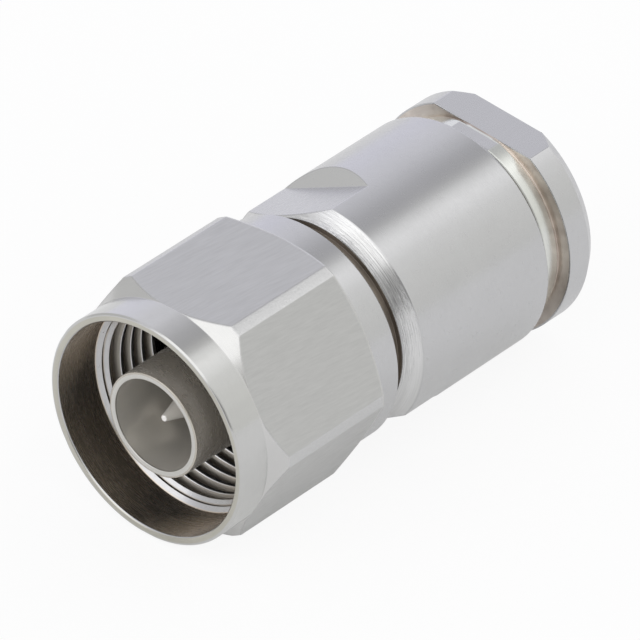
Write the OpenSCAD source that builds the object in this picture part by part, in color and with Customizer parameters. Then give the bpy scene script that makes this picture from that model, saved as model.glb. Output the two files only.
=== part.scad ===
// Coaxial plug of the N size, clamp type: a free-spinning hexagonal coupling nut on a
// turned body, with an outer contact, a pointed centre pin and a screwed cable clamp.
// Every piece is drawn along Z from the mating plane (the end of the outer contact),
// then laid down so that the cable end points along +Y.

/* [Coupling nut] */
// Distance from the front rim back to the mating plane
nut_lead = 0.75; // [0.4:0.05:1.2]
// Length of the nut over its two collars
nut_len = 16.4; // [16:0.1:18]
// Wall between the hexagon's flats and the relief behind the thread
nut_wall = 0.68; // [0.5:0.02:1.4]
// Diameter of the hexagon's turned corners
nut_corner_d = 19.66; // [18.8:0.02:20]
// Wall of the front collar round the clearance bore
front_collar_wall = 0.63; // [0.4:0.01:0.9]
// Length of the front collar
front_collar_len = 2.65; // [1.5:0.05:3.2]
// Wall of the rear collar round the snap ring's groove
rear_collar_wall = 0.75; // [0.5:0.05:1]
// Length of the rear collar
rear_collar_len = 2.45; // [1.2:0.05:2.8]
// Length of the chamfer from the corners to the rear collar
rear_chamfer_len = 0.6; // [0.3:0.05:1.3]
// Width of the broken edges on both collars
collar_edge = 0.12; // [0.05:0.01:0.25]
// Diameter of the smooth clearance bore at the front
lead_bore_d = 16.24; // [16:0.02:16.7]
// Depth of the smooth clearance bore
lead_bore_depth = 3.8; // [2.5:0.1:4.4]
// Major diameter of the coupling thread
thread_major_d = 15.88; // [15.6:0.01:15.95]
// Length of the coupling thread
thread_len = 6; // [4.5:0.1:6.2]
// Diameter of the relief behind the thread
relief_d = 16.1; // [16:0.02:16.5]

/* [Retention of the coupling nut] */
// Diameter of the body's hub that the nut turns on
hub_d = 14.6; // [13.8:0.02:14.68]
// Radial running clearance between nut and hub
hub_gap = 0.05; // [0.02:0.01:0.1]
// Distance from the front rim to the start of the hub's bore in the nut
nut_shoulder_depth = 12.3; // [11.9:0.1:12.6]
// Distance from the nut's rear face to the middle of the snap ring
ring_inset = 2.35; // [1.9:0.05:2.6]
// Axial width of the snap ring
ring_w = 0.9; // [0.6:0.05:1.1]
// Radial thickness of the snap ring
ring_t = 0.8; // [0.6:0.05:0.9]
// Radial depth of the ring's groove in the nut
nut_groove_depth = 0.55; // [0.4:0.05:0.65]
// Axial play of the ring in each groove, on each side
ring_play = 0.1; // [0.05:0.01:0.15]
// Opening between the snap ring's ends
ring_opening = 3.2; // [1:0.1:5]

/* [Body] */
// How far the body stands out past the coupling nut's flats
body_proud = 0.2; // [0.05:0.01:0.4]
// Open gap between the coupling nut and the body's shoulder
shoulder_gap = 1.3; // [0.8:0.1:1.6]
// Length from the body's shoulder to its rear face
body_len = 14.1; // [13.5:0.1:16]
// Diameter at the front of the body's shoulder chamfer
shoulder_d = 15.4; // [15:0.05:16]
// Length of the body's shoulder chamfer
shoulder_chamfer_len = 0.9; // [0.5:0.05:1.5]
// Width of the broken edge at the body's rear
body_edge = 0.15; // [0.05:0.01:0.3]
// Distance between the body's two wrench flats
body_flats = 15.7; // [15.5:0.05:16.6]
// Length of the wrench flats from the shoulder to their sloped ends
body_flat_len = 4.65; // [3.5:0.05:6]
// Turn of the body's flats from straight up
body_flats_turn = -25.3; // [-90:0.1:90]

/* [Line inside the body] */
// Outer diameter of the outer contact sleeve
contact_d = 8; // [7.8:0.02:8.1]
// Bore of the outer contact sleeve
contact_bore_d = 7; // [6.6:0.02:7.2]
// Width of the broken edge at the sleeve's end
contact_edge = 0.12; // [0.05:0.01:0.2]
// Diameter of the sleeve's root in the hub
contact_root_d = 9; // [8.6:0.05:9.4]
// Thickness of the sleeve's flange behind the hub wall
contact_flange_t = 0.8; // [0.5:0.05:1.2]
// Thickness of the hub's front wall
hub_wall_t = 1.2; // [0.8:0.1:1.6]
// Distance from the mating plane to the gasket's front face
gasket_depth = 9.1; // [8.9:0.05:9.4]
// Thickness of the interface gasket
gasket_t = 1.6; // [1.2:0.1:1.8]
// Outer diameter of the interface gasket
gasket_d = 14.4; // [13:0.1:14.6]
// Diameter of the centre pin
pin_d = 1.6; // [1.3:0.02:1.7]
// Diameter of the flat at the pin's tip
pin_tip_d = 0.46; // [0.3:0.02:0.7]
// Length of the pin's conical point
pin_point_len = 2; // [1.2:0.1:2.6]
// Distance of the pin's tip behind the mating plane
pin_recess = 1.06; // [0.6:0.02:1.6]
// Distance of the pin's shoulder behind the mating plane
pin_shoulder_depth = 5.4; // [5.2:0.05:6]
// Diameter of the centre conductor behind the pin
core_d = 3.04; // [2.6:0.02:3.3]
// Diameter of the conductor's neck in the front insulator
core_neck_d = 2.3; // [1.8:0.05:2.5]
// Diameter of the insulators
insulator_d = 9.9; // [9.6:0.05:10.4]
// Length of the front insulator
front_insulator_len = 4; // [2.5:0.1:4.4]
// Thickness of the core's collar between the insulators
core_collar_t = 0.7; // [0.4:0.05:1]
// Diameter of the core's collar
core_collar_d = 3.9; // [3.5:0.05:4.5]
// Length of the rear insulator
rear_insulator_len = 3.2; // [2:0.1:3.6]
// Length of the solder cup behind the core's collar
cup_len = 5; // [4:0.1:6]
// Bore of the solder cup
cup_bore_d = 2.35; // [1.8:0.05:2.5]
// Depth of the solder cup's bore
cup_depth = 3.6; // [2:0.1:4]
// Clearance between pieces that are fixed to each other
seat_gap = 0.02; // [0.01:0.01:0.03]

/* [Cable clamp] */
// Diameter of the clamp's chamber in the body
chamber_d = 14.1; // [13.6:0.05:14.4]
// Clearance of the clamp's pieces in their chamber
chamber_gap = 0.1; // [0.05:0.01:0.15]
// Bore of the braid clamp, which passes the cable's insulation
braid_clamp_bore_d = 7.5; // [6.8:0.1:8]
// How far the braid clamp's nose stands out past the insulator
braid_clamp_nose_step = 0.05; // [0.02:0.01:0.3]
// Length of the braid clamp behind its cone
braid_clamp_len = 1.2; // [0.8:0.1:1.5]
// Length of the rubber cable gasket
cable_gasket_len = 2.3; // [1.6:0.1:2.5]
// Bore of the rubber cable gasket
cable_gasket_bore_d = 10.5; // [9.6:0.1:10.7]
// Depth of the grooves in the cable gasket's ends
cable_gasket_groove = 0.5; // [0.2:0.05:0.6]
// Thickness of the thrust washer
washer_t = 0.8; // [0.5:0.05:1]
// Bore of the clamp nut, which passes the cable
cable_bore_d = 10.9; // [10.4:0.1:11.4]
// Width of the countersink at the cable entry
entry_chamfer = 0.6; // [0.2:0.05:1]

/* [Clamp nut] */
// Major diameter of the clamp nut's thread
clamp_thread_d = 15.2; // [14.9:0.05:15.4]
// Radial clearance of the clamp nut's thread
clamp_thread_gap = 0.05; // [0.03:0.01:0.08]
// Gap between the body's rear face and the clamp nut's collar
clamp_gap = 0.87; // [0.1:0.01:1.2]
// Diameter of the clamp nut's collar
clamp_collar_d = 15.9; // [15.6:0.02:16.4]
// Length of the clamp nut's collar
clamp_collar_len = 1.28; // [0.8:0.01:3]
// Width of the broken edges on the clamp nut's collar
clamp_collar_edge = 0.1; // [0.05:0.01:0.2]
// Width of the undercut behind the collar
undercut_w = 0.18; // [0.1:0.01:0.6]
// Depth of the undercut below the collar
undercut_depth = 0.15; // [0.1:0.01:0.4]
// Length of the clamp nut's wrench flange
flange_len = 2.87; // [1.8:0.01:3.4]
// Distance between the clamp nut's wrench flats
flange_flats = 15.5; // [15.4:0.05:17]
// Radial width of the flange's rear chamfer
flange_chamfer = 0.58; // [0.1:0.01:0.8]
// Length of the flange's rear chamfer
flange_chamfer_len = 0.88; // [0.1:0.01:1.2]
// Turn of the clamp nut's flats from straight up
flange_flats_turn = 5.2; // [-90:0.1:90]

/* [Hidden] */
$fn = 96;
eps = 0.01;      // overlap of cutting tools past the faces that they cut
reach = 40;      // larger than any width that a flat is cut from

// Diameters that two pieces share
hub_r = hub_d / 2;
nut_hub_bore_r = hub_r + hub_gap;
nut_groove_r = nut_hub_bore_r + nut_groove_depth;
nut_flats = relief_d + 2 * nut_wall;
body_d = nut_flats + 2 * body_proud;
front_collar_d = lead_bore_d + 2 * front_collar_wall;
rear_collar_d = 2 * (nut_groove_r + rear_collar_wall);
flange_d = body_d;
braid_clamp_nose_d = insulator_d + 2 * braid_clamp_nose_step;
ring_out_r = nut_groove_r - hub_gap;
ring_in_r = ring_out_r - ring_t;
hub_groove_r = hub_r - ring_t - hub_gap;
groove_w = ring_w + 2 * ring_play;
clamp_fit_r = chamber_d / 2 - chamber_gap;
clamp_bore_r = clamp_thread_d / 2 + clamp_thread_gap;
gasket_bore_r = contact_root_d / 2 + chamber_gap;

// Places along the axis, from the mating plane towards the cable
nut_front = -nut_lead;
nut_rear = nut_front + nut_len;
front_land = nut_front + front_collar_len + (nut_corner_d - front_collar_d) / 2;
rear_land = nut_rear - rear_collar_len - rear_chamfer_len;
thread_start = nut_front + lead_bore_depth + (lead_bore_d - thread_major_d) / 2;
thread_end = thread_start + thread_len;
relief_start = thread_end + (relief_d - thread_major_d) / 2;
nut_shoulder = nut_front + nut_shoulder_depth;
ring_mid = nut_rear - ring_inset;
hub_front = gasket_depth + gasket_t;
contact_root_end = hub_front - gasket_t;
shoulder_z = nut_rear + shoulder_gap;
body_rear = shoulder_z + body_len;
flange_seat = hub_front + hub_wall_t;
insulator_start = flange_seat + contact_flange_t;
core_collar_start = insulator_start + front_insulator_len;
rear_insulator_start = core_collar_start + core_collar_t;
insulator_end = rear_insulator_start + rear_insulator_len;
cone_len = (chamber_d - insulator_d) / 2;
chamber_start = insulator_end + cone_len;
clamp_cone_end = chamber_start;
cable_gasket_start = clamp_cone_end + braid_clamp_len;
washer_start = cable_gasket_start + cable_gasket_len;
clamp_nose = washer_start + washer_t + chamber_gap / 2;
clamp_collar_start = body_rear + clamp_gap;
clamp_collar_end = clamp_collar_start + clamp_collar_len;
flange_start = clamp_collar_end + undercut_w;
clamp_rear = flange_start + flange_len;

plated = [0.80, 0.80, 0.80];
silver = [0.86, 0.85, 0.82];
ptfe = [0.95, 0.95, 0.93];
rubber = [0.10, 0.10, 0.10];

// Lays a piece down: its Z axis becomes +Y
module lay() {
    rotate([-90, 0, 0]) children();
}

// Turns a tool drawn on +X so that it points straight up once the piece lies, plus an angle
module turned(angle) {
    rotate([0, 0, angle - 90]) children();
}

// A ring or tube of one rectangle
module tube(r_out, r_in, z_low, z_high) {
    rotate_extrude() translate([r_in, z_low]) square([r_out - r_in, z_high - z_low]);
}

// Cuts two opposite flats from the piece it is given, between two heights
module two_flats(width, turn, z_low, z_high) {
    difference() {
        children();
        for (side = [0, 180])
            turned(turn + side)
                translate([width / 2, -reach / 2, z_low]) cube([reach, reach, z_high - z_low]);
    }
}

// Turned outline of the coupling nut: two collars and chamfered corner lands
module nut_turning() {
    rotate_extrude() polygon([
        [0, nut_front],
        [front_collar_d / 2 - collar_edge, nut_front],
        [front_collar_d / 2, nut_front + collar_edge],
        [front_collar_d / 2, nut_front + front_collar_len],
        [nut_corner_d / 2, front_land],
        [nut_corner_d / 2, rear_land],
        [rear_collar_d / 2, nut_rear - rear_collar_len],
        [rear_collar_d / 2, nut_rear - 2 * collar_edge],
        [rear_collar_d / 2 - 2 * collar_edge, nut_rear],
        [0, nut_rear]
    ]);
}

// Bores of the coupling nut: clearance, thread, relief, hub bore and ring groove
module nut_bores() {
    rotate_extrude() polygon([
        [0, nut_front - eps],
        [lead_bore_d / 2, nut_front - eps],
        [lead_bore_d / 2, nut_front + lead_bore_depth],
        [thread_major_d / 2, thread_start],
        [thread_major_d / 2, thread_end],
        [relief_d / 2, relief_start],
        [relief_d / 2, nut_shoulder],
        [nut_hub_bore_r, nut_shoulder],
        [nut_hub_bore_r, ring_mid - groove_w / 2],
        [nut_groove_r, ring_mid - groove_w / 2],
        [nut_groove_r, ring_mid + groove_w / 2],
        [nut_hub_bore_r, ring_mid + groove_w / 2],
        [nut_hub_bore_r, nut_rear + eps],
        [0, nut_rear + eps]
    ]);
}

module coupling_nut() {
    color(plated) lay() difference() {
        intersection() {
            nut_turning();
            translate([0, 0, nut_front]) hexagon(nut_flats, nut_len);
        }
        nut_bores();
    }
}

// Hexagonal bar with a flat facing straight up once the piece lies
module hexagon(flats, length) {
    turned(30) cylinder(d = flats / cos(30), h = length, $fn = 6);
}

module snap_ring() {
    color(silver) lay() difference() {
        tube(ring_out_r, ring_in_r, ring_mid - ring_w / 2, ring_mid + ring_w / 2);
        turned(180) translate([0, -ring_opening / 2, ring_mid - ring_w])
            cube([reach, ring_opening, 2 * ring_w]);
    }
}

module interface_gasket() {
    color(rubber) lay() tube(gasket_d / 2, gasket_bore_r, gasket_depth, hub_front);
}

module outer_contact() {
    color(plated) lay() rotate_extrude() polygon([
        [contact_bore_d / 2, 0],
        [contact_d / 2 - contact_edge, 0],
        [contact_d / 2, contact_edge],
        [contact_d / 2, contact_root_end],
        [contact_root_d / 2, contact_root_end + (contact_root_d - contact_d) / 2],
        [contact_root_d / 2, flange_seat],
        [insulator_d / 2, flange_seat],
        [insulator_d / 2, insulator_start],
        [contact_bore_d / 2, insulator_start]
    ]);
}

module center_contact() {
    cup_end = rear_insulator_start + cup_len;
    color(silver) lay() difference() {
        rotate_extrude() polygon([
            [0, pin_recess],
            [pin_tip_d / 2, pin_recess],
            [pin_d / 2, pin_recess + pin_point_len],
            [pin_d / 2, pin_shoulder_depth],
            [core_d / 2, pin_shoulder_depth],
            [core_d / 2, insulator_start - seat_gap],
            [core_neck_d / 2, insulator_start - seat_gap],
            [core_neck_d / 2, core_collar_start + seat_gap],
            [core_collar_d / 2, core_collar_start + seat_gap],
            [core_collar_d / 2, rear_insulator_start - seat_gap],
            [core_d / 2, rear_insulator_start - seat_gap],
            [core_d / 2, cup_end],
            [0, cup_end]
        ]);
        translate([0, 0, cup_end - cup_depth]) cylinder(d = cup_bore_d, h = cup_depth + eps);
        turned(0) translate([0, 0, cup_end - cup_depth / 2])
            rotate([0, 90, 0]) cylinder(d = cup_bore_d / 2, h = core_d);
    }
}

module front_insulator() {
    color(ptfe) lay()
        tube(insulator_d / 2 - seat_gap, core_neck_d / 2 + seat_gap, insulator_start, core_collar_start);
}

module rear_insulator() {
    color(ptfe) lay()
        tube(insulator_d / 2 - seat_gap, core_d / 2 + seat_gap, rear_insulator_start, insulator_end);
}

// Turned outline of the body: hub with the ring groove, shoulder chamfer and shell
module body_turning() {
    rotate_extrude() polygon([
        [0, hub_front],
        [hub_r - collar_edge, hub_front],
        [hub_r, hub_front + collar_edge],
        [hub_r, ring_mid - groove_w / 2],
        [hub_groove_r, ring_mid - groove_w / 2],
        [hub_groove_r, ring_mid + groove_w / 2],
        [hub_r, ring_mid + groove_w / 2],
        [hub_r, shoulder_z],
        [shoulder_d / 2, shoulder_z],
        [body_d / 2, shoulder_z + shoulder_chamfer_len],
        [body_d / 2, body_rear - body_edge],
        [body_d / 2 - body_edge, body_rear],
        [0, body_rear]
    ]);
}

// Stepped bore of the body, from the hub's wall to the clamp nut's thread
module body_bores() {
    rotate_extrude() polygon([
        [0, hub_front - eps],
        [contact_root_d / 2 + seat_gap, hub_front - eps],
        [contact_root_d / 2 + seat_gap, flange_seat],
        [insulator_d / 2 + seat_gap, flange_seat],
        [insulator_d / 2 + seat_gap, insulator_end],
        [chamber_d / 2, chamber_start],
        [chamber_d / 2, washer_start],
        [clamp_bore_r, washer_start],
        [clamp_bore_r, body_rear + eps],
        [0, body_rear + eps]
    ]);
}

// Cuts one wrench flat, which ends in the slope that the cutter leaves
module body_flat_cut() {
    flat_end = shoulder_z + body_flat_len;
    rise = (body_d - body_flats) / 2 + eps;
    translate([body_flats / 2, 0, 0]) rotate([90, 0, 0])
        linear_extrude(height = body_d, center = true) polygon([
            [0, shoulder_z - eps], [0, flat_end], [rise, flat_end + rise], [rise, shoulder_z - eps]
        ]);
}

module body() {
    color(plated) lay() difference() {
        body_turning();
        body_bores();
        for (side = [0, 180]) turned(body_flats_turn + side) body_flat_cut();
    }
}

// Tapered ring that the cable's braid is folded over
module braid_clamp() {
    nose_z = clamp_cone_end - (2 * clamp_fit_r - braid_clamp_nose_d) / 2 + seat_gap;
    color(plated) lay() rotate_extrude() polygon([
        [braid_clamp_bore_d / 2, nose_z],
        [braid_clamp_nose_d / 2, nose_z],
        [clamp_fit_r, clamp_cone_end + seat_gap],
        [clamp_fit_r, cable_gasket_start],
        [braid_clamp_bore_d / 2, cable_gasket_start]
    ]);
}

// Rubber ring with a groove in each end, squeezed onto the cable's jacket
module cable_gasket() {
    bore_r = cable_gasket_bore_d / 2;
    mid_r = (bore_r + clamp_fit_r) / 2;
    color(rubber) lay() rotate_extrude() polygon([
        [bore_r, cable_gasket_start],
        [mid_r, cable_gasket_start + cable_gasket_groove],
        [clamp_fit_r, cable_gasket_start],
        [clamp_fit_r, washer_start],
        [mid_r, washer_start - cable_gasket_groove],
        [bore_r, washer_start]
    ]);
}

module thrust_washer() {
    color(plated) lay() tube(clamp_fit_r, cable_bore_d / 2, washer_start, washer_start + washer_t);
}

module clamp_nut() {
    collar_r = clamp_collar_d / 2;
    thread_r = clamp_thread_d / 2;
    bore_r = cable_bore_d / 2;
    color(plated) lay() two_flats(flange_flats, flange_flats_turn, clamp_collar_start, clamp_rear + eps)
        rotate_extrude() polygon([
            [bore_r, clamp_nose],
            [thread_r - clamp_collar_edge, clamp_nose],
            [thread_r, clamp_nose + clamp_collar_edge],
            [thread_r, clamp_collar_start],
            [collar_r - clamp_collar_edge, clamp_collar_start],
            [collar_r, clamp_collar_start + clamp_collar_edge],
            [collar_r, clamp_collar_end - clamp_collar_edge],
            [collar_r - clamp_collar_edge, clamp_collar_end],
            [collar_r - undercut_depth, clamp_collar_end],
            [collar_r - undercut_depth, flange_start],
            [flange_d / 2, flange_start],
            [flange_d / 2, clamp_rear - flange_chamfer_len],
            [flange_d / 2 - flange_chamfer, clamp_rear],
            [bore_r + entry_chamfer, clamp_rear],
            [bore_r, clamp_rear - entry_chamfer]
        ]);
}

coupling_nut();
snap_ring();
interface_gasket();
outer_contact();
center_contact();
front_insulator();
body();
rear_insulator();
braid_clamp();
cable_gasket();
thrust_washer();
clamp_nut();
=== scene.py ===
import math

import bmesh
import bpy
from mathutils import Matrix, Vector


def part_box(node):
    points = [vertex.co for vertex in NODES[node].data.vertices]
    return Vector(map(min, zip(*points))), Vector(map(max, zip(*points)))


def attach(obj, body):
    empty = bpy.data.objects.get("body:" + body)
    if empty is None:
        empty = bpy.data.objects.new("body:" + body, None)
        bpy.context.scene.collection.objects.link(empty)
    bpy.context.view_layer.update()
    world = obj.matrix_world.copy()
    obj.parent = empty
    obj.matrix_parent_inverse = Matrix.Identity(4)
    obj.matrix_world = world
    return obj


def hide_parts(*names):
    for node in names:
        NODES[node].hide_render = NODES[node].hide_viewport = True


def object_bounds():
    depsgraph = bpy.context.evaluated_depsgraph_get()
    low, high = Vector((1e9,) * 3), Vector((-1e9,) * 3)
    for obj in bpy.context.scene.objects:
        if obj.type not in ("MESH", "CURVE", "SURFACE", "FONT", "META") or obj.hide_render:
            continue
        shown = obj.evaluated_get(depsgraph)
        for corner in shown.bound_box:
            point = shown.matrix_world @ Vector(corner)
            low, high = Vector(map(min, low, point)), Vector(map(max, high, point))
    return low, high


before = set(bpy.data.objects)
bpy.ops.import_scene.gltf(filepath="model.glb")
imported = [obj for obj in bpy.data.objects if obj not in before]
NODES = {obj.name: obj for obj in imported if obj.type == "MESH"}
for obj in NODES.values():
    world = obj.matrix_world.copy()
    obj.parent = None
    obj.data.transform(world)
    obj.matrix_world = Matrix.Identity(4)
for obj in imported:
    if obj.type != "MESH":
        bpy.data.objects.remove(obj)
CAD_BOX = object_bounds()

MM = 0.001


# ---------------------------------------------------------------- places along the axis
# All sizes below are in millimetres: y runs from the mating plane towards the cable.

def node_y(node):
    """First and last y of a CAD node."""
    low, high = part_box(node)
    return low.y / MM, high.y / MM


NUT_FRONT, NUT_REAR = node_y("coupling_nut")
BODY_FRONT, BODY_REAR = node_y("body")
CLAMP_NOSE, CLAMP_REAR = node_y("clamp_nut")
GASKET_FRONT = node_y("interface_gasket")[0]
PIN_FRONT, PIN_REAR = node_y("center_contact")

SHOULDER = NUT_REAR + 1.3          # body's shoulder behind the coupling nut
RING_MID = NUT_REAR - 2.35         # middle of the snap ring's groove
RING_GROOVE_W = 1.1
FLANGE_SEAT = BODY_FRONT + 1.2     # hub wall that the outer contact's flange sits against
INSULATOR_R = 4.97


# ---------------------------------------------------------------- mesh tools

def smaller(a, b, blend):
    """The smaller of two radii, with a rounded change from one to the other."""
    h = max(blend - abs(a - b), 0.0) / blend
    return min(a, b) - h * h * blend / 4


def flat_radius(phi, apothem, faces):
    """Distance from the axis to the nearest of some flats, in the direction phi (degrees)."""
    best = math.inf
    for face in faces:
        delta = math.radians((phi - face + 180) % 360 - 180)
        if math.cos(delta) > 0.2:
            best = min(best, apothem / math.cos(delta))
    return best


CREASE_STEPS = (0.1, 0.22, 0.45, 0.8)    # degrees to the added angles on each side of a crease


def around(step, creases=()):
    """Angles round the axis, closer together at the creases."""
    angles = {round(i * step, 4) for i in range(int(360 / step))}
    for crease in creases:
        angles = {a for a in angles if abs((a - crease + 180) % 360 - 180) > CREASE_STEPS[-1] + 0.3}
    for crease in creases:
        angles.add(round(crease % 360, 4))
        for off in CREASE_STEPS:
            angles.update((round((crease + off) % 360, 4), round((crease - off) % 360, 4)))
    return sorted(angles)


SUPPORT = 0.06    # distance of a supporting point from the rounding


def rounded(points, radii, steps):
    """A closed outline with each corner rounded, and a supporting point on each side of it."""
    out = []
    for i, point in enumerate(points):
        before, after = points[i - 1], points[(i + 1) % len(points)]
        corner = Vector(point)
        a = Vector((before[0] - point[0], before[1] - point[1]))
        b = Vector((after[0] - point[0], after[1] - point[1]))
        turn = math.pi - a.angle(b, math.pi)
        back = min(radii[i] * math.tan(min(turn, 3.0) / 2), 0.42 * a.length, 0.42 * b.length)
        start = corner + a.normalized() * back
        end = corner + b.normalized() * back
        lead = max(min(SUPPORT, 0.45 * a.length - back), 0.0)
        tail = max(min(SUPPORT, 0.45 * b.length - back), 0.0)
        out.append(start + a.normalized() * lead)
        for k in range(steps + 1):
            t = k / steps
            out.append(start * (1 - t) ** 2 + corner * 2 * t * (1 - t) + end * t * t)
        out.append(end + b.normalized() * tail)
    return out


SHARP_ANGLE = 38    # edges that turn by more degrees than this are shaded as sharp


def mesh_object(name, verts, faces, slots, materials):
    """A clean smooth-shaded mesh piece from vertices in millimetres."""
    mesh = bpy.data.meshes.new(name)
    mesh.from_pydata([(x * MM, y * MM, z * MM) for x, y, z in verts], [], faces)
    for material in materials:
        mesh.materials.append(material)
    mesh.polygons.foreach_set("material_index", slots)
    work = bmesh.new()
    work.from_mesh(mesh)
    bmesh.ops.remove_doubles(work, verts=work.verts, dist=2e-7)
    bmesh.ops.dissolve_degenerate(work, dist=1e-7, edges=work.edges)
    bmesh.ops.recalc_face_normals(work, faces=work.faces)
    for face in work.faces:
        face.smooth = True
    for edge in work.edges:
        if len(edge.link_faces) == 2 and edge.calc_face_angle(0.0) > math.radians(SHARP_ANGLE):
            edge.smooth = False
    work.to_mesh(mesh)
    work.free()
    piece = bpy.data.objects.new(name, mesh)
    bpy.context.scene.collection.objects.link(piece)
    return piece


def lathe(name, outline, angles, steps=3):
    """Turns a closed outline round the axis. outline(phi) gives corners as
    (radius, y, rounding, material): the material is that of the run after the corner."""
    verts, faces, slots, materials = [], [], [], []
    for phi in angles:
        corners = outline(phi)
        ring = rounded([c[:2] for c in corners], [c[2] for c in corners], steps)
        across, up = math.sin(math.radians(phi)), math.cos(math.radians(phi))
        verts += [(max(p.x, 0.0) * across, p.y, max(p.x, 0.0) * up) for p in ring]
    per_corner = steps + 3
    size = len(verts) // len(angles)
    for i, phi in enumerate(angles):
        j = (i + 1) % len(angles)
        runs = [c[3] for c in outline(phi + (angles[j] - phi) % 360 / 2)]
        materials += [metal for metal in dict.fromkeys(runs) if metal not in materials]
        for k in range(size):
            m = (k + 1) % size
            faces.append((i * size + k, i * size + m, j * size + m, j * size + k))
            slots.append(materials.index(runs[k // per_corner]))
    return mesh_object(name, verts, faces, slots, materials)


# ---------------------------------------------------------------- materials

BRUSH_DEPTH = 0.04 * MM
RING_SLANT = 1.37    # counts radius with length, so that end faces and cones show rings too


class Nodes:
    """Short calls for building a node tree."""

    def __init__(self, tree):
        self.tree = tree

    def node(self, kind, inputs=(), **settings):
        node = self.tree.nodes.new(kind)
        for key, value in settings.items():
            setattr(node, key, value)
        for key, value in dict(inputs).items():
            self.put(node.inputs[key], value)
        return node

    def put(self, socket, value):
        if isinstance(value, bpy.types.NodeSocket):
            self.tree.links.new(value, socket)
        else:
            socket.default_value = value

    def math(self, operation, a, b=0.0, c=0.0):
        return self.node("ShaderNodeMath", {0: a, 1: b, 2: c}, operation=operation).outputs[0]

    def remap(self, value, low, high, to_low, to_high, smooth=False):
        return self.node("ShaderNodeMapRange", {
            "Value": value, "From Min": low, "From Max": high, "To Min": to_low, "To Max": to_high,
        }, interpolation_type="SMOOTHSTEP" if smooth else "LINEAR").outputs["Result"]

    def blend(self, factor, a, b):
        node = self.node("ShaderNodeMix", data_type="RGBA")
        self.put(node.inputs["Factor"], factor)
        self.put(node.inputs[6], a)
        self.put(node.inputs[7], b)
        return node.outputs[2]

    def noise(self, vector, scale, detail=2.0, roughness=0.5):
        return self.node("ShaderNodeTexNoise", {
            "Vector": vector, "Scale": scale, "Detail": detail, "Roughness": roughness,
        }).outputs["Fac"]

    def stretch(self, vector, scales):
        return self.node("ShaderNodeVectorMath", {0: vector, 1: scales},
                         operation="MULTIPLY").outputs[0]

    def place(self):
        return self.node("ShaderNodeTexCoord").outputs["Object"]

    def lathe_vector(self, around_scale, along_scale):
        """Coordinates in which noise becomes fine rings round the axis."""
        parts = self.node("ShaderNodeSeparateXYZ", {0: self.place()}).outputs
        flat = self.node("ShaderNodeCombineXYZ", {0: parts[0], 2: parts[2]}).outputs[0]
        radius = self.node("ShaderNodeVectorMath", {0: flat}, operation="LENGTH").outputs["Value"]
        unit = self.node("ShaderNodeVectorMath", {0: flat}, operation="NORMALIZE").outputs[0]
        unit = self.node("ShaderNodeSeparateXYZ", {0: unit}).outputs
        run = self.math("MULTIPLY_ADD", radius, RING_SLANT, parts[1])
        run = self.math("MULTIPLY", run, along_scale)
        return self.node("ShaderNodeCombineXYZ", {
            0: self.math("MULTIPLY", unit[0], around_scale), 1: run,
            2: self.math("MULTIPLY", unit[2], around_scale)}).outputs[0]


class Surface(Nodes):
    """A material round one Principled shader."""

    def __init__(self, name):
        self.material = bpy.data.materials.new(name)
        self.material.use_nodes = True
        super().__init__(self.material.node_tree)
        self.shader = self.tree.nodes["Principled BSDF"]

    def finish(self, **values):
        for key, value in values.items():
            self.put(self.shader.inputs[key.replace("_", " ").title()], value)
        return self.material


def rgb(r, g, b):
    return (r, g, b, 1.0)


def gray(level):
    return rgb(level, level, level)


def turned_metal(name, bright, dull, roughness, marks=0.10, streak=0.5, blotch=0.35, arc=0.9,
                 metal=1.0, depth=0.04):
    """Plated metal off the lathe: fine rings round the axis, and a soft cloudiness.
    arc is how often the rings break, from under 1 for long rings to about 20 for a satin
    grain; depth is that of the rings in millimetres."""
    m = Surface(name)
    fine = m.noise(m.lathe_vector(arc, 9000.0), 1.0, 3.0, 0.65)
    broad = m.noise(m.lathe_vector(arc * 1.8, 1500.0), 1.0, 2.0, 0.5)
    cloud = m.noise(m.place(), 260.0, 3.0, 0.55)
    rings = m.math("ADD", m.math("MULTIPLY", fine, 0.7), m.math("MULTIPLY", broad, 0.3))
    cloudy = m.math("ADD", m.math("MULTIPLY", cloud, blotch), 0.5 - (streak + blotch) / 2)
    tone = m.math("ADD", m.math("MULTIPLY", rings, streak), cloudy)
    color = m.blend(m.remap(tone, 0.2, 0.8, 0.0, 1.0), dull, bright)
    rough = m.remap(rings, 0.25, 0.75, roughness * 1.25, roughness * 0.8)
    bump = m.node("ShaderNodeBump", {"Strength": marks, "Distance": depth * MM, "Height": rings})
    tangent = m.node("ShaderNodeTangent", direction_type="RADIAL", axis="Y")
    return m.finish(base_color=color, metallic=metal, roughness=rough, anisotropic=0.55,
                    anisotropic_rotation=0.25, normal=bump.outputs[0], tangent=tangent.outputs[0])


def drawn_metal(name, bright, dull, roughness, marks, angle=7.0):
    """Plated metal with straight brush lines that run nearly along the axis."""
    m = Surface(name)
    turn = m.node("ShaderNodeVectorRotate", {
        "Vector": m.place(), "Axis": (0.35, 0.0, 1.0), "Angle": math.radians(angle),
    }, rotation_type="AXIS_ANGLE").outputs[0]
    fine = m.noise(m.stretch(turn, (6800.0, 420.0, 6800.0)), 1.0, 3.0, 0.6)
    broad = m.noise(m.stretch(turn, (1900.0, 200.0, 1900.0)), 1.0, 2.0, 0.5)
    lines = m.math("ADD", m.math("MULTIPLY", fine, 0.8), m.math("MULTIPLY", broad, 0.2))
    color = m.blend(m.remap(lines, 0.3, 0.7, 0.0, 1.0), dull, bright)
    rough = m.remap(lines, 0.25, 0.75, roughness * 1.2, roughness * 0.85)
    bump = m.node("ShaderNodeBump", {"Strength": marks, "Distance": BRUSH_DEPTH, "Height": lines})
    tangent = m.node("ShaderNodeTangent", direction_type="RADIAL", axis="Y")
    return m.finish(base_color=color, metallic=1.0, roughness=rough, anisotropic=0.3,
                    normal=bump.outputs[0], tangent=tangent.outputs[0])


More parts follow.
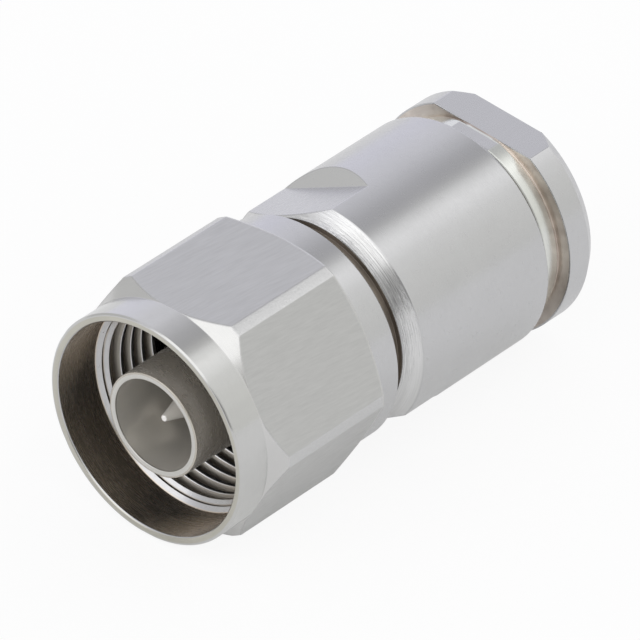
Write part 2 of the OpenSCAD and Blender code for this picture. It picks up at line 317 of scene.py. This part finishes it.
def soft_plastic(name, light, dark, roughness, grain=0.08):
    """Plain moulded or turned plastic and rubber with a slight mottling."""
    m = Surface(name)
    cloud = m.noise(m.place(), 900.0, 3.0, 0.6)
    rings = m.noise(m.lathe_vector(0.8, 4000.0), 1.0, 2.0, 0.5)
    mix = m.math("ADD", m.math("MULTIPLY", cloud, 0.5), m.math("MULTIPLY", rings, 0.5))
    bump = m.node("ShaderNodeBump", {"Strength": grain, "Distance": BRUSH_DEPTH, "Height": mix})
    return m.finish(base_color=m.blend(m.remap(mix, 0.3, 0.7, 0.0, 1.0), dark, light),
                    roughness=m.remap(mix, 0.3, 0.7, roughness * 1.1, roughness * 0.9),
                    normal=bump.outputs[0])


PLATED = turned_metal("plated_turned", rgb(0.60, 0.60, 0.605), rgb(0.52, 0.52, 0.525), 0.24,
                      marks=0.05, streak=0.4, arc=14.0)
COLLAR = turned_metal("plated_collar", rgb(0.61, 0.61, 0.60), rgb(0.54, 0.54, 0.53), 0.17,
                      marks=0.05, streak=0.4, arc=14.0)
CORNER = turned_metal("plated_corner", rgb(0.65, 0.645, 0.635), rgb(0.57, 0.57, 0.565), 0.2,
                      marks=0.06, streak=0.2, blotch=0.6, arc=8.0)
CONE = turned_metal("plated_shoulder", rgb(0.80, 0.80, 0.80), rgb(0.52, 0.52, 0.52), 0.11,
                    marks=0.7, streak=0.9, blotch=0.1, arc=1.3, depth=0.045)
DRAWN = drawn_metal("plated_drawn", rgb(0.555, 0.555, 0.55), rgb(0.50, 0.50, 0.495), 0.34,
                    marks=0.07)
MILLED = drawn_metal("plated_milled", rgb(0.575, 0.575, 0.585), rgb(0.565, 0.565, 0.575), 0.27,
                     angle=4.0, marks=0.01)
LAND = turned_metal("plated_land", rgb(0.68, 0.68, 0.68), rgb(0.52, 0.52, 0.52), 0.3,
                    marks=0.3, streak=0.9, blotch=0.1, arc=60.0)
# The slope at the end of a milled flat: the milled metal made lighter than on the flats, painted
# light on the ramp
RAMP_LIT = drawn_metal("plated_ramp_lit", rgb(0.63, 0.63, 0.625), rgb(0.61, 0.61, 0.605), 0.3,
                   angle=4.0, marks=0.01)
RIM_FACE = turned_metal("plated_rim", rgb(0.614, 0.600, 0.535), rgb(0.465, 0.451, 0.400), 0.24,
                        marks=0.05, streak=0.2, blotch=0.8)
BORE = turned_metal("plated_bore", rgb(0.68, 0.61, 0.53), rgb(0.52, 0.46, 0.39), 0.26,
                    marks=0.07, streak=0.5, blotch=0.5, arc=4.0)
RECESS = turned_metal("plated_recess", rgb(0.52, 0.49, 0.45), rgb(0.40, 0.365, 0.325), 0.26,
                      marks=0.3, streak=0.7, blotch=0.2)
# Thread metal, darker and browner than the plating: on the thread ridge's flanks it is painted
# shade in the grooves
THREAD = turned_metal("plated_thread", rgb(0.62, 0.59, 0.53), rgb(0.36, 0.33, 0.29), 0.34,
                      marks=0.4, streak=0.9, blotch=0.1, metal=0.75)
# Dark brown metal on the hub, from the snap ring's groove back to the body's shoulder, in the gap
# behind the coupling nut
DARK_HUB = turned_metal("plated_dark_hub", rgb(0.34, 0.29, 0.24), rgb(0.10, 0.085, 0.07), 0.4,
                       marks=0.2, streak=0.3, blotch=1.0, metal=0.7)
# The clamp nut's collar: the same plating as the flange made brighter, painted light that makes up
# for the shade and dark reflections from the body and the flange
CLAMP_COLLAR_LIT = turned_metal("clamp_collar_lit", rgb(0.80, 0.81, 0.77), rgb(0.66, 0.67, 0.64), 0.2)
FLANGE_FACE = turned_metal("flange_face", rgb(0.98, 0.91, 0.84), rgb(0.22, 0.16, 0.13), 0.35,
                           marks=0.2, streak=0.1, blotch=1.1)
SLEEVE_BORE = turned_metal("sleeve_bore", rgb(0.68, 0.65, 0.59), rgb(0.58, 0.56, 0.53), 0.22,
                           marks=0.02, streak=0.3, blotch=0.7, metal=0.5)
CONTACT = turned_metal("contact_turned", rgb(0.60, 0.565, 0.50), rgb(0.48, 0.45, 0.40), 0.25,
                       marks=0.04, arc=4.0, metal=0.75)
RIM = turned_metal("contact_rim", rgb(0.67, 0.66, 0.625), rgb(0.59, 0.58, 0.55), 0.22)
PIN = turned_metal("pin_turned", rgb(0.96, 0.94, 0.90), rgb(0.90, 0.88, 0.85), 0.12, marks=0.03,
                   metal=0.5)
SPRING = turned_metal("spring_bronze", rgb(0.62, 0.50, 0.36), rgb(0.48, 0.38, 0.27), 0.3)
PTFE = soft_plastic("ptfe", rgb(0.80, 0.80, 0.78), rgb(0.73, 0.73, 0.71), 0.42)
RUBBER = soft_plastic("rubber", rgb(0.035, 0.033, 0.031), rgb(0.022, 0.021, 0.020), 0.62, 0.2)


# ---------------------------------------------------------------- coupling nut

HEX_APOTHEM = 8.73
HEX_FACES = range(0, 360, 60)
CORNER_R = 9.83
FRONT_COLLAR_R = 8.75
REAR_COLLAR_R = 8.65
FRONT_COLLAR_LEN = 2.65
REAR_COLLAR_LEN = 2.45
REAR_CHAMFER_LEN = 0.6
EDGE = 0.12              # chamfer on outer front edges
NUT_REAR_EDGE = 0.24
LEAD_EDGE = 0.10
LEAD_R = 8.12
LEAD_LEN = 3.8
THREAD_R = 7.94
THREAD_LEN = 6.0
CREST_R = 7.37
PITCH = 1.058
FIRST_CREST = (0.58, 0.78, 0.98)    # start, end and foot of the first crest, behind the lead
RUN_IN_R = 7.70                     # where the first groove starts in the slope before it
RUN_IN = (0.22, 0.36)               # the groove's sides, behind the lead
RUN_IN_SLOPE = 0.03
RUN_IN_DEPTH = 0.22
RELIEF_R = 8.05
NUT_SHOULDER_DEPTH = 12.3
HUB_BORE_R = 7.35
NUT_GROOVE_R = 7.9


def run_in(phi):
    """Depth of the thread's first groove, which runs out towards the top of the bore."""
    return RUN_IN_DEPTH * min(1.0, (-60 - phi) % 360 / 60)


def nut_outline(phi):
    """The nut's section: front collar, hexagon and rear collar outside, then the bore forward."""
    hexagon = flat_radius(phi, HEX_APOTHEM, HEX_FACES)
    top = smaller(CORNER_R, hexagon, 0.03)
    front = min(FRONT_COLLAR_R, hexagon)
    rear = min(REAR_COLLAR_R, hexagon)
    collar_end = NUT_FRONT + FRONT_COLLAR_LEN
    collar_start = NUT_REAR - REAR_COLLAR_LEN
    rear_slope = REAR_CHAMFER_LEN / (CORNER_R - REAR_COLLAR_R)
    lead_end = NUT_FRONT + LEAD_LEN
    thread_end = lead_end + (LEAD_R - THREAD_R) + THREAD_LEN
    crest_start, crest_end, crest_foot = (lead_end + place for place in FIRST_CREST)
    groove_front, groove_rear = (lead_end + place for place in RUN_IN)
    groove = run_in(phi)
    groove_metal = RECESS if groove > 0.03 else PLATED
    nut_shoulder = NUT_FRONT + NUT_SHOULDER_DEPTH
    ring_front, ring_rear = RING_MID - RING_GROOVE_W / 2, RING_MID + RING_GROOVE_W / 2
    return [
        (LEAD_R + LEAD_EDGE, NUT_FRONT, 0.05, RIM_FACE),
        (front - EDGE, NUT_FRONT, 0.03, COLLAR),
        (front, NUT_FRONT + EDGE, 0.03, COLLAR),
        (front, collar_end, 0.02, CORNER),
        (top, collar_end + top - front, 0.12, DRAWN if hexagon < CORNER_R else LAND),
        (top, collar_start - (top - rear) * rear_slope, 0.12, CORNER),
        (rear, collar_start, 0.02, PLATED),
        (rear, NUT_REAR - NUT_REAR_EDGE, 0.03, PLATED),
        (rear - NUT_REAR_EDGE, NUT_REAR, 0.03, PLATED),
        (HUB_BORE_R, NUT_REAR, 0.04, RECESS),
        (HUB_BORE_R, ring_rear, 0.03, RECESS),
        (NUT_GROOVE_R, ring_rear, 0.03, RECESS),
        (NUT_GROOVE_R, ring_front, 0.03, RECESS),
        (HUB_BORE_R, ring_front, 0.03, RECESS),
        (HUB_BORE_R, nut_shoulder, 0.04, RECESS),
        (RELIEF_R, nut_shoulder, 0.05, RECESS),
        (RELIEF_R, thread_end + (RELIEF_R - THREAD_R), 0.05, RECESS),
        (THREAD_R, thread_end, 0.03, RECESS),
        (THREAD_R, crest_foot, 0.03, RECESS),
        (CREST_R, crest_end, 0.05, THREAD),
        (CREST_R, crest_start, 0.05, PLATED),
        (RUN_IN_R, groove_rear, 0.02, groove_metal),
        (RUN_IN_R + groove, groove_rear - RUN_IN_SLOPE, 0.02, groove_metal),
        (RUN_IN_R + groove, groove_front + RUN_IN_SLOPE, 0.02, groove_metal),
        (RUN_IN_R, groove_front, 0.02, PLATED),
        (LEAD_R, lead_end - 0.04, 0.04, BORE),
        (LEAD_R, NUT_FRONT + LEAD_EDGE, 0.03, PLATED),
    ]


def corner_angles(apothem, radius, faces):
    """Where flats at this distance from the axis meet a cylinder of this radius, in degrees."""
    half = math.degrees(math.acos(apothem / radius))
    return [face + side * half for face in faces for side in (-1, 1)]


coupling_nut = lathe("coupling_nut_turned", nut_outline,
                     around(1.5, corner_angles(HEX_APOTHEM, CORNER_R, HEX_FACES)))
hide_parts("coupling_nut")
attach(coupling_nut, "coupling")


RIDGE_STEPS = 96     # sections in one turn of a ridge
FADE_STEPS = 12      # sections over which it rises to its full height


def thread_ridge(name, foot, crest, pitch, start, turns):
    """The ridge of a right-hand thread: one closed solid wound round the axis. It is an inside
    thread where the foot's radius is larger than the crest's. The section's widths are those
    of the coupling thread, and follow the pitch."""
    inward = 1 if foot > crest else -1
    sunk = foot + 0.03 * inward
    profile = [(0.42, sunk), (0.40, foot - 0.02 * inward),
               (0.17, crest + 0.05 * inward), (0.13, crest)]
    section = profile + [(-across, radius) for across, radius in reversed(profile)]
    verts, faces, slots = [], [], []
    count = int(turns * RIDGE_STEPS)
    for i in range(count + 1):
        fade = max(min(1.0, i / FADE_STEPS, (count - i) / FADE_STEPS), 0.05)
        phi = 2 * math.pi * i / RIDGE_STEPS
        for across, radius in section:
            r = sunk + (radius - sunk) * fade
            y = start + pitch * (i / RIDGE_STEPS + across / PITCH)
            verts.append((r * math.sin(phi), y, r * math.cos(phi)))
    n = len(section)
    for i in range(count):
        for k in range(n):
            m = (k + 1) % n
            faces.append((i * n + k, i * n + m, (i + 1) * n + m, (i + 1) * n + k))
            # The crest and its small front edge take the plain plating and the flanks the darker
            # thread metal: painted light on the edge that faces the opening, painted shade down in
            # the grooves
            slots.append(1 if k in (3, 4) else 0)    # the crest and its front edge are bright
    faces.append(tuple(range(n)))
    faces.append(tuple(count * n + k for k in reversed(range(n))))
    return mesh_object(name, verts, faces, slots + [0, 0], [THREAD, PLATED])


RIDGE_START = 1.1    # behind the lead
RIDGE_TURNS = 4.7
thread = thread_ridge("coupling_thread", THREAD_R, CREST_R, PITCH,
                      NUT_FRONT + LEAD_LEN + RIDGE_START, RIDGE_TURNS)
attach(thread, "coupling")


# ---------------------------------------------------------------- body

BODY_R = 8.93
SHOULDER_R = 7.7
HUB_R = 7.3
HUB_GROOVE_R = 6.45
BODY_FLAT = 7.85
BODY_FLAT_FACES = (-25.3, 154.7)
BODY_FLAT_END = SHOULDER + 4.65
SHOULDER_CONE_LEN = 0.9
CONTACT_HOLE_R = 4.52
INSULATOR_END = 20.6
CHAMBER_FRONT = 22.7         # the chamber narrows from here to the insulator's end
CHAMBER_R = 7.05
CLAMP_BORE_R = 7.65
CLAMP_BORE_FRONT = CLAMP_NOSE - 0.05
CHAMBER_REAR = CLAMP_NOSE - 0.85


def ramp_end(phi):
    """Where the slope at the end of a flat meets the round body, in the direction phi."""
    across = max(math.cos(math.radians(phi - face)) for face in BODY_FLAT_FACES)
    return BODY_FLAT_END + max(BODY_R * across - BODY_FLAT, 0.0)


def body_outline(phi):
    """The body's section: hub, shoulder and milled flats outside, then the bore forward."""
    flat = flat_radius(phi, BODY_FLAT, BODY_FLAT_FACES)
    top = smaller(BODY_R, flat, 0.02)
    milled = flat < BODY_R
    cone = SHOULDER + (top - SHOULDER_R) * SHOULDER_CONE_LEN / (BODY_R - SHOULDER_R)
    ring_front, ring_rear = RING_MID - RING_GROOVE_W / 2, RING_MID + RING_GROOVE_W / 2
    return [
        (CONTACT_HOLE_R, BODY_FRONT, 0.03, RECESS),
        (HUB_R - EDGE, BODY_FRONT, 0.03, RECESS),
        (HUB_R, BODY_FRONT + EDGE, 0.03, RECESS),
        (HUB_R, ring_front, 0.03, RECESS),
        (HUB_GROOVE_R, ring_front, 0.03, RECESS),
        (HUB_GROOVE_R, ring_rear, 0.03, RECESS),
        (HUB_R, ring_rear, 0.03, DARK_HUB),
        (HUB_R, SHOULDER, 0.05, DARK_HUB),
        (SHOULDER_R, SHOULDER, 0.05, CONE),
        (top, cone, 0.06, MILLED if milled else PLATED),
        # the ramp takes the lighter copy of the milled metal: painted light
        (top, BODY_FLAT_END, 0.03, RAMP_LIT if milled else PLATED),
        (BODY_R, ramp_end(phi), 0.05, PLATED),
        (BODY_R, BODY_REAR, 0.16, PLATED),
        (CLAMP_BORE_R, BODY_REAR, 0.05, RECESS),
        (CLAMP_BORE_R, CLAMP_BORE_FRONT, 0.03, RECESS),
        (CHAMBER_R, CHAMBER_REAR, 0.03, RECESS),
        (CHAMBER_R, CHAMBER_FRONT, 0.03, RECESS),
        (INSULATOR_R, INSULATOR_END, 0.03, RECESS),
        (INSULATOR_R, FLANGE_SEAT, 0.03, RECESS),
        (CONTACT_HOLE_R, FLANGE_SEAT, 0.03, RECESS),
    ]


body = lathe("body_turned", body_outline,
             around(1.5, corner_angles(BODY_FLAT, BODY_R, BODY_FLAT_FACES)))
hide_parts("body")
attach(body, "plug")


# ---------------------------------------------------------------- clamp nut

COLLAR_R = 7.95
COLLAR_EDGE = 0.1
COLLAR_FRONT = BODY_REAR + 0.87
COLLAR_REAR = COLLAR_FRONT + 1.28
UNDERCUT_R = 7.80
FLANGE_FRONT = COLLAR_REAR + 0.18
FLANGE_APOTHEM = 7.75
FLANGE_FACES = (5.2, 185.2)
FLANGE_CHAMFER = 0.58
FLANGE_CHAMFER_LEN = 0.88
CABLE_R = 5.45
ENTRY_CHAMFER = 0.6
CLAMP_THREAD_R = 7.6
CLAMP_ROOT_R = 7.05
CLAMP_PITCH = 1.0
NOSE_EDGE = 0.1
ROOT_END = COLLAR_FRONT - 1.45       # behind the ridge the shank widens from here
SHANK_FRONT = COLLAR_FRONT - 1.15    # to here


def clamp_outline(phi):
    """The clamp nut's section: threaded shank, collar, undercut and flange, then the bore."""
    flat = flat_radius(phi, FLANGE_APOTHEM, FLANGE_FACES)
    collar = smaller(COLLAR_R, flat, 0.02)
    # Where the collar is round it takes the brightened plating: painted light
    collar_metal = MILLED if flat < COLLAR_R else CLAMP_COLLAR_LIT
    flange = smaller(BODY_R, flat, 0.02)
    flange_metal = MILLED if flat < BODY_R else PLATED
    bottom = min(UNDERCUT_R, collar)
    end = min(flange, BODY_R - FLANGE_CHAMFER)
    slope = FLANGE_CHAMFER_LEN / FLANGE_CHAMFER
    return [
        (CABLE_R, CLAMP_NOSE, 0.05, RECESS),
        (CLAMP_ROOT_R - NOSE_EDGE, CLAMP_NOSE, 0.05, RECESS),
        (CLAMP_ROOT_R, CLAMP_NOSE + NOSE_EDGE, 0.05, RECESS),
        (CLAMP_ROOT_R, ROOT_END, 0.05, RECESS),
        (CLAMP_THREAD_R, SHANK_FRONT, 0.05, RECESS),
        (CLAMP_THREAD_R, COLLAR_FRONT, 0.03, CLAMP_COLLAR_LIT),
        (collar - COLLAR_EDGE, COLLAR_FRONT, 0.05, CLAMP_COLLAR_LIT),
        (collar, COLLAR_FRONT + COLLAR_EDGE, 0.05, collar_metal),
        (collar, COLLAR_REAR - COLLAR_EDGE, 0.05, CLAMP_COLLAR_LIT),
        (max(collar - COLLAR_EDGE, bottom), COLLAR_REAR, 0.03, CLAMP_COLLAR_LIT),
        (bottom, COLLAR_REAR + 0.03, 0.04, FLANGE_FACE),
        (bottom, FLANGE_FRONT, 0.05, FLANGE_FACE),
        (flange, FLANGE_FRONT, 0.06, flange_metal),
        (flange, CLAMP_REAR - (flange - end) * slope, 0.05, PLATED),
        (end, CLAMP_REAR, 0.05, PLATED),
        (CABLE_R + ENTRY_CHAMFER, CLAMP_REAR, 0.05, PLATED),
        (CABLE_R, CLAMP_REAR - ENTRY_CHAMFER, 0.05, RECESS),
    ]


clamp_nut = lathe("clamp_nut_turned", clamp_outline,
                  around(1.5, corner_angles(FLANGE_APOTHEM, BODY_R, FLANGE_FACES)
                         + corner_angles(FLANGE_APOTHEM, COLLAR_R, FLANGE_FACES)))
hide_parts("clamp_nut")
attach(clamp_nut, "gland")

CLAMP_RIDGE_START = CLAMP_NOSE + 0.5
CLAMP_RIDGE_END = COLLAR_FRONT - 1.5
clamp_thread = thread_ridge("clamp_thread", CLAMP_ROOT_R, CLAMP_THREAD_R, CLAMP_PITCH,
                            CLAMP_RIDGE_START, (CLAMP_RIDGE_END - CLAMP_RIDGE_START) / CLAMP_PITCH)
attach(clamp_thread, "gland")


# ---------------------------------------------------------------- contacts

SLEEVE_BORE_R = 3.5
SLEEVE_R = 4.0
SLEEVE_ROOT_R = 4.5
SLEEVE_FLANGE_R = 4.95
SLEEVE_END = FLANGE_SEAT + 0.8
MATING_PLANE = 0.0


def outer_contact_outline(phi):
    """The sleeve's section, from its front edge to the flange at its rear."""
    return [
        (SLEEVE_BORE_R, MATING_PLANE, 0.06, RIM),
        (SLEEVE_R, MATING_PLANE, 0.10, CONTACT),
        (SLEEVE_R, GASKET_FRONT, 0.05, CONTACT),
        (SLEEVE_ROOT_R, GASKET_FRONT + SLEEVE_ROOT_R - SLEEVE_R, 0.05, CONTACT),
        (SLEEVE_ROOT_R, FLANGE_SEAT, 0.05, CONTACT),
        (SLEEVE_FLANGE_R, FLANGE_SEAT, 0.05, CONTACT),
        (SLEEVE_FLANGE_R, SLEEVE_END, 0.05, CONTACT),
        (SLEEVE_BORE_R, SLEEVE_END, 0.05, SLEEVE_BORE),
    ]


outer_contact = lathe("outer_contact_turned", outer_contact_outline, around(2.5))
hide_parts("outer_contact")
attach(outer_contact, "plug")


SEAT_GAP = 0.02              # between the neck's ends and the front insulator
FRONT_INSULATOR_LEN = 4.0
PIN_TIP_R = 0.23
PIN_POINT_LEN = 2.0
PIN_R = 0.8
PIN_SHOULDER = 5.4
CORE_R = 1.52
NECK_R = 1.15
NECK_FRONT = SLEEVE_END - SEAT_GAP
NECK_REAR = SLEEVE_END + FRONT_INSULATOR_LEN + SEAT_GAP
CORE_COLLAR_R = 1.95
CORE_COLLAR_REAR = FLANGE_SEAT + 5.48
CUP_R = 1.175
CUP_DEPTH = 3.6


def pin_outline(phi):
    """The centre contact's section: point, pin, neck, collar and solder cup."""
    corners = [
        (0.0, PIN_FRONT, 0.0),
        (PIN_TIP_R, PIN_FRONT, 0.12),
        (PIN_R, PIN_FRONT + PIN_POINT_LEN, 0.4),
        (PIN_R, PIN_SHOULDER, 0.05),
        (CORE_R, PIN_SHOULDER, 0.05),
        (CORE_R, NECK_FRONT, 0.05),
        (NECK_R, NECK_FRONT, 0.05),
        (NECK_R, NECK_REAR, 0.05),
        (CORE_COLLAR_R, NECK_REAR, 0.05),
        (CORE_COLLAR_R, CORE_COLLAR_REAR, 0.05),
        (CORE_R, CORE_COLLAR_REAR, 0.05),
        (CORE_R, PIN_REAR, 0.05),
        (CUP_R, PIN_REAR, 0.05),
        (CUP_R, PIN_REAR - CUP_DEPTH, 0.05),
        (0.0, PIN_REAR - CUP_DEPTH, 0.0),
    ]
    return [(*corner, PIN) for corner in corners]


center_contact = lathe("center_contact_turned", pin_outline, around(7.5), steps=4)
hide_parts("center_contact")
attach(center_contact, "plug")

# Pieces inside, which keep the shape that the CAD gives them
INNER_PIECES = {
    "snap_ring": SPRING, "interface_gasket": RUBBER, "front_insulator": PTFE,
    "rear_insulator": PTFE, "braid_clamp": CONTACT, "cable_gasket": RUBBER,
    "thrust_washer": CONTACT,
}
for node, material in INNER_PIECES.items():
    NODES[node].data.materials.clear()
    NODES[node].data.materials.append(material)


# ---------------------------------------------------------------- floor, light and camera

# How much of the floor is plain white to the camera, and to metal; the rest is the lit paper,
# which keeps the object's shadow
CAMERA_WHITE = 0.9
MIRROR_WHITE = 0.3


def floor_material():
    """White paper: it keeps a faint shadow, and the background comes out white."""
    m = Surface("floor_paper")
    grain = m.noise(m.place(), 900.0, 2.0)
    m.finish(base_color=m.blend(grain, gray(0.90), gray(0.94)), roughness=0.9)
    path = m.node("ShaderNodeLightPath").outputs
    mirror = m.math("MAXIMUM", path["Is Glossy Ray"], path["Is Transmission Ray"])
    share = m.math("MAXIMUM", m.math("MULTIPLY", path["Is Camera Ray"], CAMERA_WHITE),
                   m.math("MULTIPLY", mirror, MIRROR_WHITE))
    glow = m.node("ShaderNodeEmission", {"Color": gray(1.0), "Strength": 1.0})
    mix = m.node("ShaderNodeMixShader", {0: share, 1: m.shader.outputs[0], 2: glow.outputs[0]})
    m.tree.links.new(mix.outputs[0], m.tree.nodes["Material Output"].inputs["Surface"])
    return m.material


FLOOR_Z = CAD_BOX[0][2] - 0.01 * MM
FLOOR_HALF = 1.5
floor_mesh = bpy.data.meshes.new("floor")
floor_mesh.from_pydata([(x * FLOOR_HALF, y * FLOOR_HALF, FLOOR_Z)
                        for x, y in ((-1, -1), (1, -1), (1, 1), (-1, 1))], [], [(0, 1, 2, 3)])
floor = bpy.data.objects.new("floor", floor_mesh)
floor.data.materials.append(floor_material())
bpy.context.scene.collection.objects.link(floor)

# Light tent: direction round the object's axis (0 is straight up, 90 is +X), brightness, and
# how blue it is
TENT = [
    (-180, 0.92, 1.10), (-100, 0.94, 1.12), (-72, 0.95, 1.11), (-48, 0.93, 1.07),
    (-36, 0.88, 1.06), (-24, 0.74, 1.05), (-12, 0.60, 1.04), (-2, 0.56, 1.03), (5, 0.68, 1.0),
    (12, 1.06, 1.0), (22, 1.26, 1.0), (30, 1.16, 1.0), (40, 1.00, 0.99), (60, 0.92, 0.98),
    (84, 0.86, 0.98), (108, 0.90, 1.0), (180, 0.92, 1.0),
]
# The gap between the front panels and the floor, the tent's dimmer left front, and two panels
# in front: direction, cosine at the edge, cosine where it is full, brightness
SPOTS = [
    (Vector((0.40, -0.915, 0.03)), 0.905, 0.99, 0.22),
    (Vector((-0.95, -0.30, 0.15)), 0.72, 0.93, 0.72),
    (Vector((-0.258, -0.872, 0.416)), 0.925, 0.962, 1.60),
    (Vector((0.03, -0.75, 0.66)), 0.915, 0.955, 1.50),
]
TENT_SCALE = 2.0     # the colour ramp holds values up to 1, so it works in halves


def tent_world():
    """The tent is the world's light; the camera itself sees plain white behind the floor."""
    world = bpy.data.worlds.new("tent")
    world.use_nodes = True
    bpy.context.scene.world = world
    w = Nodes(world.node_tree)
    direction = w.node("ShaderNodeTexCoord").outputs["Generated"]
    parts = w.node("ShaderNodeSeparateXYZ", {0: direction}).outputs
    angle = w.math("ARCTAN2", parts[0], parts[2])
    turn = w.math("ADD", w.math("DIVIDE", angle, 2 * math.pi), 0.5)
    ramp = w.node("ShaderNodeValToRGB", {0: turn})
    ramp.color_ramp.interpolation = "EASE"
    stops = ramp.color_ramp.elements
    while len(stops) > 1:
        stops.remove(stops[-1])
    for i, (degrees, level, blue) in enumerate(TENT):
        place = (degrees + 180) / 360
        stop = stops[0] if i == 0 else stops.new(place)
        stop.position = place
        half = level / TENT_SCALE
        stop.color = rgb(half, half, half * blue)

    color = ramp.outputs[0]
    for aim, edge, full, level in SPOTS:
        dot = w.node("ShaderNodeVectorMath", {0: direction, 1: aim.normalized()},
                     operation="DOT_PRODUCT").outputs["Value"]
        cover = w.remap(dot, edge, full, 0.0, 1.0, smooth=True)
        color = w.blend(cover, color, gray(level / TENT_SCALE))

    light = w.node("ShaderNodeVectorMath", {0: color, "Scale": TENT_SCALE},
                   operation="SCALE").outputs[0]
    camera_ray = w.node("ShaderNodeLightPath").outputs["Is Camera Ray"]
    w.put(w.tree.nodes["Background"].inputs["Color"], w.blend(camera_ray, light, gray(1.0)))


tent_world()

AZIMUTH = math.radians(41.4)
ELEVATION = math.radians(34.75)
DISTANCE = 0.6303
AIM_SHIFT = Vector((0.1, -0.725, -0.1)) * MM
center = (Vector(CAD_BOX[0]) + Vector(CAD_BOX[1])) / 2
towards = Vector((math.sin(AZIMUTH) * math.cos(ELEVATION), -math.cos(AZIMUTH) * math.cos(ELEVATION),
                  math.sin(ELEVATION)))
camera = bpy.data.objects.new("camera", bpy.data.cameras.new("camera"))
camera.data.lens = 513.8
camera.data.sensor_width = 36.0
camera.data.clip_start = 0.01
camera.location = center + AIM_SHIFT + towards * DISTANCE
camera.rotation_euler = (-towards).to_track_quat("-Z", "Y").to_euler()
bpy.context.scene.collection.objects.link(camera)
bpy.context.scene.camera = camera
bpy.context.scene.view_settings.view_transform = "Standard"
